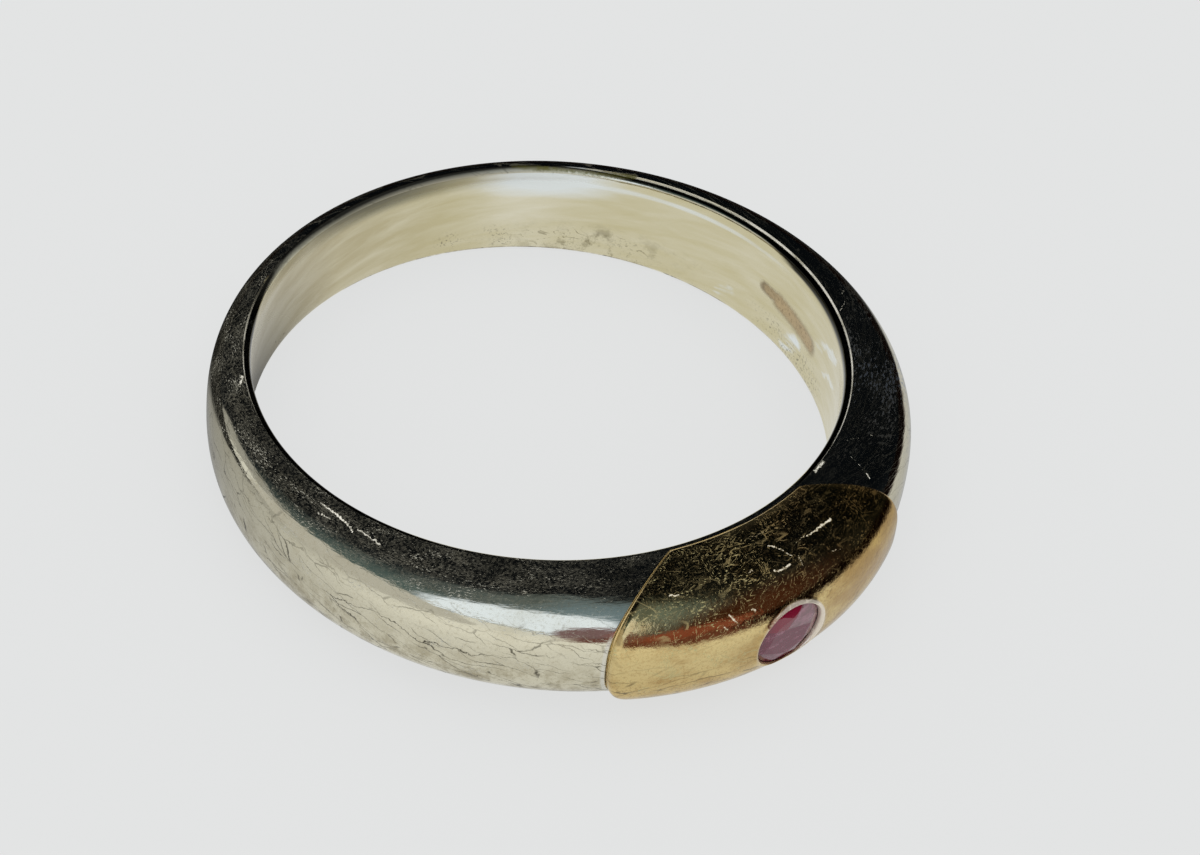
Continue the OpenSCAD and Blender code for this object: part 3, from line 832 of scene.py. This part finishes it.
    # a dirty patch low on the far side of the finger hole, a brown stain to the right of it, and olive on the rim
    crust = mask(tree, (blots, 0.5, 0.66, 0.7), mask(tree, crinkleMask(tree, uv, 0.28, 2.2, -8, 3), 0.9),
                 how="MAXIMUM")
    stainEdge = markMask(tree, ragged, onWall, look["stainEdges"])
    stain = mask(tree, markMask(tree, ragged, onWall, look["stains"]), (streaks, -0.25, 0.05, 1.0, 0.75))
    olive = mask(tree, markMask(tree, ragged, onBand, look["oliveStains"]), (clouds, 0.35, 0.55, 1.0, 0.3))
    base = coated(
        tree, outside,
        (inside, on["hole"]),
        (tint, tinted),
        (look["scratch"], marks),
        (look["grime"], dirt),
        (look["wallGrime"], crust, on["grimy"]),
        (look["stainEdge"], stainEdge),
        (look["stain"], stain),
        (look["stainEdge"], stain, (grain, 0.5, 0.64, 0.6)),
        # painted black shade and tarnish in the turn of the rim
        (look["blackShadeAndTarnish"], on["shadeAndTarnish"], (clouds, 0.25, 0.45, 0.97, 0.8)),
        (look["olive"], olive),
    )
    # matt share: a faint grainy haze, more in specks, scratches, dirt, worn metal, painted shade and painted highlight
    dirty = mask(tree, dirt, stainEdge, how="MAXIMUM")
    soft = mask(tree, on["satin"], lip, how="MAXIMUM")
    matt = mask(tree, (grain, 0.44, 0.66, 0.05, 0.002), on["speckled"], toLeft)
    for part, amount in (
            (fleck, 0.5), (marks, 0.85), (dirty, 0.3), (olive, 0.25), (on["lowShade"], 0.4), (soft, 0.5)):
        matt = add(tree, "Math", multiplyAdd, {0: part, 1: amount, 2: matt})
    rough = add(tree, "Math", multiplyAdd, {0: on["hole"], 1: look["holeRoughness"], 2: look["roughness"]})
    rough = add(tree, "Math", multiplyAdd, {0: matt, 1: 0.7, 2: rough})
    # the mirror is a little uneven along the ring, so that reflections have ragged edges
    waves = drawnNoise(tree, uv, 2.0, 0.5, -6, 3.0, 0.55)
    for part, amount in ((drawnNoise(tree, uv, 0.6, 0.09, 0, 3.0, 0.65), 0.16), (dirt, -0.25)):
        waves = add(tree, "Math", multiplyAdd, {0: part, 1: amount, 2: waves})
    finishMetal(tree, base, matt, rough, waves)
    return material


goldLook = {
    "metal": "#E9D296",
    "brown": "#B8935A",
    "wear": "#C2BA84",        # specks to the left and to the right
    "rust": "#8A5A34",
    "warm": "#E4BC66",        # deeper film low down and at the right end
    "scratch": "#F6EFDC",
    "grime": "#4A3818",
    "edge": "#E8CC90",        # painted highlight along the upper edge
    "beadHighlightTint": "#F3EADC",   # burnished edge round the stone, with a painted highlight
    "roughness": 0.05,
    # mottle, clouds and waves: size in mm, detail and roughness of the noise
    "noises": ((0.07, 3.0, 0.7), (0.8, 7.0, 0.68), (0.3, 5.0, 0.65)),
    "scratches": (
        ((0.31, 0.642), (0.42, 0.641), 0.035, 0.9),
        ((0.40, 0.641), (0.55, 0.635), 0.05, 1.0),
        ((0.20, 0.645), (0.30, 0.655), 0.02, 0.6),
        ((0.01, 0.735), (0.06, 0.69), 0.025, 0.9),
        ((0.06, 0.69), (0.11, 0.575), 0.022, 0.9),
        ((-0.05, 0.53), (-0.02, 0.515), 0.04, 1.0),
        ((-0.02, 0.515), (0.065, 0.52), 0.035, 0.9),
        ((0.15, 0.55), (0.14, 0.46), 0.02, 0.6),
        ((-0.77, 0.60), (-0.70, 0.59), 0.035, 0.9),
        ((-0.39, 0.33), (-0.36, 0.28), 0.04, 0.9),
        ((-0.36, 0.28), (-0.33, 0.21), 0.022, 0.8),
        ((-0.42, 0.25), (-0.405, 0.23), 0.045, 0.8),
        ((-0.25, 0.315), (-0.24, 0.305), 0.05, 0.9),
        ((0.36, 0.43), (0.42, 0.40), 0.02, 0.6),
        ((-0.22, 0.60), (-0.19, 0.61), 0.03, 0.6),
        ((-0.10, 0.86), (0.08, 0.85), 0.014, 0.4),
    ),
}


# 18 carat yellow gold, filed, polished and worn: a warm mirror with browned hollows and many fine specks, and a bright
# cut edge round the stone. Highlights are painted on that edge and along the upper edge.
def makeGoldMetal():
    look = goldLook
    material, tree, spot = newMaterial("polishedYellowGold")
    axes = add(tree, "SeparateXYZ", {}, {0: spot}).outputs
    x, z = axes["X"], axes["Z"]
    uv = add(tree, "UVMap", {"uv_map": "surface"}, {})
    edgeAway, stoneAway = (add(tree, "Attribute", {"attribute_name": name}, {}).outputs["Fac"]
                           for name in ("edgeAway", "stoneAway"))
    ragged = shaken(tree, spot, 0.1, 0.14)
    grained = add(tree, "Mapping", {}, {0: spot, 3: (0.5, 1.0, 1.0)})
    mottle, clouds, waves = (
        add(tree, "TexNoise", {}, {"Vector": at, "Scale": 1 / (size * mm), "Detail": detail, "Roughness": rough})
        for at, (size, detail, rough) in zip((spot, grained, spot), look["noises"]))
    toRight = mask(tree, (x, -3.0 * mm, 3.5 * mm))
    film = add(tree, "Math", multiplyAdd, {0: toRight, 1: 0.10, 2: clouds})
    warm = mask(tree, (z, 0.4 * mm, -1.3 * mm, 0.6), (x, 1.0 * mm, 4.0 * mm, 0.75), how="MAXIMUM")
    # fine specks along the ring, olive to the left and rusty to the right, and hairs across it
    along = speckMask(tree, uv, 0.05, 2.6, 0.035, 3)
    across = mask(tree, speckMask(tree, uv, 0.13, 0.3, 0.045, 9), 0.65)
    fine = mask(tree, crinkleMask(tree, uv, 0.15, 2.6, 12, 5), crinkleMask(tree, uv, 0.34, 2.4, -10, 11),
                how="MAXIMUM")
    fine = mask(tree, fine, 0.5, (clouds, 0.4, 0.62, 1.35, 0.4))
    fleck = mask(tree, mask(tree, along, across, fine, how="MAXIMUM"), (toRight, 0.2, 1.0, 0.35, 1.0))
    tint = coated(tree, look["wear"], (look["rust"], toRight))
    marks = mask(tree, markMask(tree, ragged, onGold, look["scratches"]), (mottle, 0.36, 0.54, 1.0, 0.3))
    # a painted highlight: a fine light line along the upper edge, left of the stone
    rubbedHighlight = mask(tree, (edgeAway, 0.11, 0.05), (z, 1.0 * mm, 1.3 * mm), (x, 0.3 * mm, -0.6 * mm),
                  (clouds, 0.33, 0.45))
    dirt = mask(tree, crackMask(tree, uv, 0.3, 5.0, 0.022, 8, 4), (mottle, 0.52, 0.66, 0.4), how="MAXIMUM")
    dirt = mask(tree, dirt, (z, 0.6 * mm, -0.9 * mm, 0.85, 0.15))
    # burnished edge round the stone, broken by wear, with a painted highlight on it, most of it up and to the right
    beside = add(tree, "Math", multiplyAdd, {0: clouds, 1: 0.12, 2: stoneAway})
    upRight = add(tree, "VectorMath", {"operation": "DOT_PRODUCT"}, {0: spot, 1: (0.8, 0.0, 0.6)})
    beadHighlight = mask(tree, (beside, 0.15, 0.09), (upRight, -0.7 * mm, 0.6 * mm, 0.85, 0.2))
    base = coated(
        tree, look["metal"],
        (look["warm"], warm),
        (look["brown"], (film, 0.42, 0.72, 0.75)),
        (look["brown"], (mottle, 0.48, 0.66, 0.35)),
        (tint, fleck),
        (look["scratch"], marks),
        (look["edge"], rubbedHighlight),
        (look["grime"], dirt),
        (look["beadHighlightTint"], beadHighlight),
    )
    # the matt share: a grainy haze that fades to the right except along the upper edge, the wear, and the painted
    # highlights
    most = add(tree, "MapRange", {}, {0: toRight, 1: 0.0, 2: 1.0, 3: 0.05, 4: 0.002})
    upperEdge = mask(tree, (edgeAway, 0.5, 0.1, 0.025), (z, 1.2 * mm, 1.7 * mm), (x, -1.5 * mm, 0.5 * mm))
    matt = mask(tree, (mottle, 0.5, 0.68, most), upperEdge, mask(tree, rubbedHighlight, 0.9), how="MAXIMUM")
    for part, amount in ((fleck, 0.6), (marks, 0.85), (dirt, 0.12), (beadHighlight, 0.45)):
        matt = add(tree, "Math", multiplyAdd, {0: part, 1: amount, 2: matt})
    rough = add(tree, "Math", multiplyAdd, {0: matt, 1: 0.6, 2: look["roughness"]})
    finishMetal(tree, base, matt, rough, waves)
    return material


rubyLook = {
    "deep": "#740A36",
    "glow": "#8C0630",        # clear crimson part, where light comes through
    "grey": "#9C8284",        # worn part beside it
    "dust": "#B47A8E",
    # lines over the table that part them, each from and to a place along and up the stone in mm
    "glowSide": ((-0.15, 0.33), (0.4, 1.05)),
    "glowLow": ((-1.1, 0.55), (-0.15, 0.33)),
    "wornLow": ((-0.15, 0.33), (1.1, 0.0)),
    "lineSoft": 0.03,         # half the width in mm over which one part goes over to the next
    "noise": (0.2, 7.0, 0.8), # of the haze: size in mm, detail and roughness
    "dusty": 0.6,             # dust from which the next two have their second value
    "clear": (0.38, 0.2),
    "roughness": (0.04, 0.3),
    "ior": 1.77,
}


# Ruby, facetted: red right through, clear in one corner, with a film of dust and fine wear over the rest of its table
def makeRuby():
    look = rubyLook
    material, tree, spot = newMaterial("facettedRuby")
    ragged = shaken(tree, spot, 0.08, 0.05)

    # 1 on the upper or left side of a line over the table
    def above(line):
        (x0, y0), (x1, y1) = line
        across = (stoneSide * (y0 - y1) + stoneUp * (x1 - x0)) / math.hypot(x1 - x0, y1 - y0)
        start = fromStone(np.array(x0), np.array(y0), np.array(tableOut)) * mm
        away = add(tree, "VectorMath", {"operation": "DOT_PRODUCT"}, {0: ragged, 1: tuple(across)})
        level, soft = float(start @ across), look["lineSoft"] * mm
        return mask(tree, (away, level - soft, level + soft))
    glowSide = above(look["glowSide"])
    glow = mask(tree, glowSide, above(look["glowLow"]))
    wornSide = add(tree, "Math", {"operation": "SUBTRACT"}, {0: 1.0, 1: glowSide})
    worn = mask(tree, wornSide, above(look["wornLow"]))
    streak = add(tree, "Mapping", {}, {0: spot, 2: (0.0, math.radians(20), 0.0), 3: (0.4, 1.0, 1.0)})
    size, detail, rough = look["noise"]
    haze = add(tree, "TexNoise", {},
               {"Vector": streak, "Scale": 1 / (size * mm), "Detail": detail, "Roughness": rough})
    for part, amount in ((glow, -0.12), (worn, 0.05)):
        haze = add(tree, "Math", multiplyAdd, {0: part, 1: amount, 2: haze})
    dust = mask(tree, (haze, 0.51, 0.62, 0.5, 0.02))
    base = coated(
        tree, look["deep"],
        (look["glow"], glow),
        (look["grey"], worn, 0.6),
        (look["dust"], dust),
    )
    clear, rough = (add(tree, "MapRange", {}, {0: dust, 1: 0.0, 2: look["dusty"], 3: clean, 4: dusty})
                    for clean, dusty in (look["clear"], look["roughness"]))
    shader = add(tree, "BsdfPrincipled", {}, {"Base Color": base, "Roughness": rough, "IOR": look["ior"],
                                              "Transmission Weight": clear})
    add(tree, "OutputMaterial", {}, {0: shader})
    return material


for piece, material, nodeName, slotName in (
        (silverBand, makeSilver(), "band", "silver"),
        (goldInlay, makeGoldMetal(), "inlay", "gold"),
        (rubyStone, makeRuby(), "stone", "ruby")):
    piece.data.materials.append(material)
    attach(piece, "root")
    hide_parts(nodeName)
print("pieces placed")

studio = {
    "floor": "#E2E3E3",
    "floorSize": 2.0,         # half its width in m
    "floorEven": 0.88,        # how much of it is evenly lit for the eye
    "shade": "#06090E",       # what the metal mirrors where the room is dark, and where it is dim
    "dim": "#20242A",
    "darkSide": (135, 30),    # azimuth and elevation in degrees; 0 looks out to -Y and 90 to +X
    # soft patches that only the metal mirrors: middle, half width and half height in degrees, softness, colour and
    # strength
    "patches": (
        ("greyWall", (-80, 8), (56, 48), 0.9, "#4E5F63", 1.0),
        ("overhead", (-45, 70), (50, 18), 1.3, "#586266", 1.0),
        ("greyFringe", (-22, 44), (32, 30), 1.1, "#6C8090", 1.0),
        ("rustShade", (16, 14), (28, 28), 1.2, "#43281F", 1.0),
        ("window", (-49, 32), (31, 26), 0.3, "#D9E6FF", 1.2),
        ("seam", (-92, -12), (67.5, 35.5), 0.04, "#4A5254", 1.0),
        ("farCard", (-132, 0), (30, 24), 0.12, "#98999A", 1.0),
        ("paleCorner", (-92, -12), (66, 34), 0.04, "#DADCDE", 1.0),
        ("paleCard", (-100, 0), (40, 30), 0.07, "#BBBBBB", 1.0),
        ("shelfEnd", (-29, 12), (9, 13), 0.5, "#7A626A", 1.0),
        ("shelf", (-3, 4), (20, 13), 0.35, "#8A5048", 1.0),
    ),
    "farTint": "#6B4440",     # what the far floor in front has of the shelf's colour
    "lights": (               # name, place and size in m, power in W
        ("above", (0.0, 0.0, 0.4), 0.5, 0.6),
        ("side", (-0.35, -0.2, 0.3), 0.3, 0.3),
    ),
}


# Direction of a place round the ring in radians: 0 towards -Y, and rising towards +X
def direction(tree, x, y):
    toFront = add(tree, "Math", {"operation": "MULTIPLY"}, {0: y, 1: -1.0})
    return add(tree, "Math", {"operation": "ARCTAN2"}, {0: x, 1: toFront})


# Plain floor. The eye sees it nearly even, with a faint soft shadow under the ring. In the metal it is light in front
# and goes dark behind the ring and far off to the right.
def makeFloor():
    size = studio["floorSize"]
    low = min(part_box(n)[0].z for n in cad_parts)
    mesh = bpy.data.meshes.new("floor")
    corners = [(-size, -size, low), (size, -size, low), (size, size, low), (-size, size, low)]
    mesh.from_pydata(corners, [], [(0, 1, 2, 3)])
    floor = newObject("floor", mesh)
    material, tree, spot = newMaterial("palePaper")
    paper = add(tree, "BsdfDiffuse", {}, {"Color": studio["floor"]})
    even = add(tree, "Emission", {}, {"Color": studio["floor"], "Strength": 1.0})
    seen = add(tree, "MixShader", {}, {0: studio["floorEven"], 1: paper, 2: even})
    flat = add(tree, "VectorMath", {"operation": "MULTIPLY"}, {0: spot, 1: (1.0, 1.0, 0.0)})
    x, y = add(tree, "SeparateXYZ", {}, {0: flat}).outputs[:2]
    away = add(tree, "VectorMath", {"operation": "LENGTH"}, {0: flat})
    turn = direction(tree, x, y)
    # lighter from the left to the front, and away from the ring's own shadow
    light = mask(tree, (turn, -2.5, -1.0, 1.0, 0.42), (away, 9 * mm, 20 * mm, 1.0, 0.8), (turn, 0.9, 0.1, 1.0, 0.72))
    light = mask(tree, light, (away, 9.6 * mm, 8.9 * mm, 0.95), how="MAXIMUM")
    # dark behind the ring, and far off to the right
    behind, leftBehind = (add(tree, "Math", multiplyAdd, {0: x, 1: slope, 2: y}) for slope in (0.37, 0.9))
    behind = mask(tree, (behind, 3.5 * mm, 7.0 * mm), (leftBehind, -1.0 * mm, 2.0 * mm), (away, 9.5 * mm, 10.5 * mm))
    near = add(tree, "MapRange", {}, {0: turn, 1: -0.6, 2: -0.2, 3: 45 * mm, 4: 21 * mm})
    beyond = add(tree, "Math", {"operation": "SUBTRACT"}, {0: away, 1: near})
    right = mask(tree, (turn, -0.7, -0.5), (beyond, -3 * mm, 3 * mm))
    tint = coated(tree, studio["floor"], (studio["farTint"], right))
    dark = mask(tree, behind, mask(tree, right, (turn, -0.05, 0.25)), how="MAXIMUM")
    lit = add(tree, "Math", multiplyAdd, {0: dark, 1: -0.97, 2: 1.0})
    mirrored = add(tree, "Emission", {}, {"Color": tint, "Strength": mask(tree, light, lit)})
    ray = add(tree, "LightPath", {}, {})
    both = add(tree, "MixShader", {}, {0: ray.outputs["Is Glossy Ray"], 1: seen, 2: mirrored})
    add(tree, "OutputMaterial", {}, {0: both})
    mesh.materials.append(material)


# Sky of the studio: pale for the eye and for soft light. Mirrored rays see a dim room with the soft patches.
def makeWorld():
    world = bpy.data.worlds.new("studio")
    bpy.context.scene.world = world
    world.use_nodes = True
    tree = world.node_tree
    tree.nodes.clear()
    way = add(tree, "TexCoord", {}, {}).outputs["Generated"]
    x, y, z = add(tree, "SeparateXYZ", {}, {0: way}).outputs
    upward = add(tree, "Math", {"operation": "ARCSINE"}, {0: z})
    azimuth, high = (add(tree, "Math", {"operation": "DEGREES"}, {0: angle})
                     for angle in (direction(tree, x, y), upward))
    turn, rise = (math.radians(v) for v in studio["darkSide"])
    darkWay = (math.sin(turn) * math.cos(rise), -math.cos(turn) * math.cos(rise), math.sin(rise))
    toDark = add(tree, "VectorMath", {"operation": "DOT_PRODUCT"}, {0: way, 1: darkWay})
    seen = coated(tree, studio["dim"], (studio["shade"], (toDark, 0.1, 0.65)))
    # each patch is an ellipse in azimuth and elevation
    for name, middle, half, soft, tint, strength in studio["patches"]:
        parts = {}
        for k, angle in enumerate((azimuth, high)):
            away = add(tree, "Math", {"operation": "SUBTRACT"}, {0: angle, 1: middle[k]})
            parts[k] = add(tree, "Math", {"operation": "DIVIDE"}, {0: away, 1: half[k]})
        far = add(tree, "VectorMath", {"operation": "LENGTH"}, {0: add(tree, "CombineXYZ", {}, parts)})
        lit = tuple(c * strength for c in colour(tint)[:3]) + (1.0,)
        share = mask(tree, (far, 1 + soft / 2, 1 - soft / 2))
        seen = add(tree, "Mix", {"data_type": "RGBA", "clamp_factor": True}, {0: share, 6: seen, 7: lit})
        seen.label = name
    mirrored = add(tree, "Background", {}, {"Color": seen, "Strength": 1.0})
    plain = add(tree, "Background", {}, {"Color": studio["floor"], "Strength": 1.0})
    ray = add(tree, "LightPath", {}, {})
    both = add(tree, "MixShader", {}, {0: ray.outputs["Is Glossy Ray"], 1: plain, 2: mirrored})
    add(tree, "OutputWorld", {}, {0: both})


view = {
    "place": (-51.426, -59.592, 75.162),      # mm
    "right": (0.79303715, -0.60302668, 0.08631858),
    "up": (0.37328558, 0.59302725, 0.71342593),
    "look": (0.48140414, 0.53355179, -0.69539381),
    "lens": 111.1,
    "sensor": 36,
}


def makeCamera():
    camera = bpy.data.cameras.new("camera")
    camera.sensor_width = view["sensor"]
    camera.sensor_fit = "HORIZONTAL"
    camera.lens = view["lens"]
    camera.clip_start, camera.clip_end = 0.001, 20
    holder = newObject("camera", camera)
    turn = Matrix([view["right"], view["up"], [-c for c in view["look"]]]).transposed().to_4x4()
    holder.matrix_world = Matrix.Translation(Vector(view["place"]) * mm) @ turn
    bpy.context.scene.camera = holder


# Large soft lights over the ring. Only the matt surfaces feel them.
def makeLights():
    for name, spot, size, power in studio["lights"]:
        light = bpy.data.lights.new(name, "AREA")
        light.size = size
        light.energy = power
        holder = newObject(name, light)
        holder.matrix_world = Matrix.Translation(spot) @ (-Vector(spot)).to_track_quat("-Z", "Y").to_matrix().to_4x4()
        holder.visible_glossy = False


makeFloor()
makeWorld()
makeCamera()
makeLights()
bpy.context.scene.view_settings.view_transform = "Standard"
print("studio set")

bpy.context.view_layer.update()
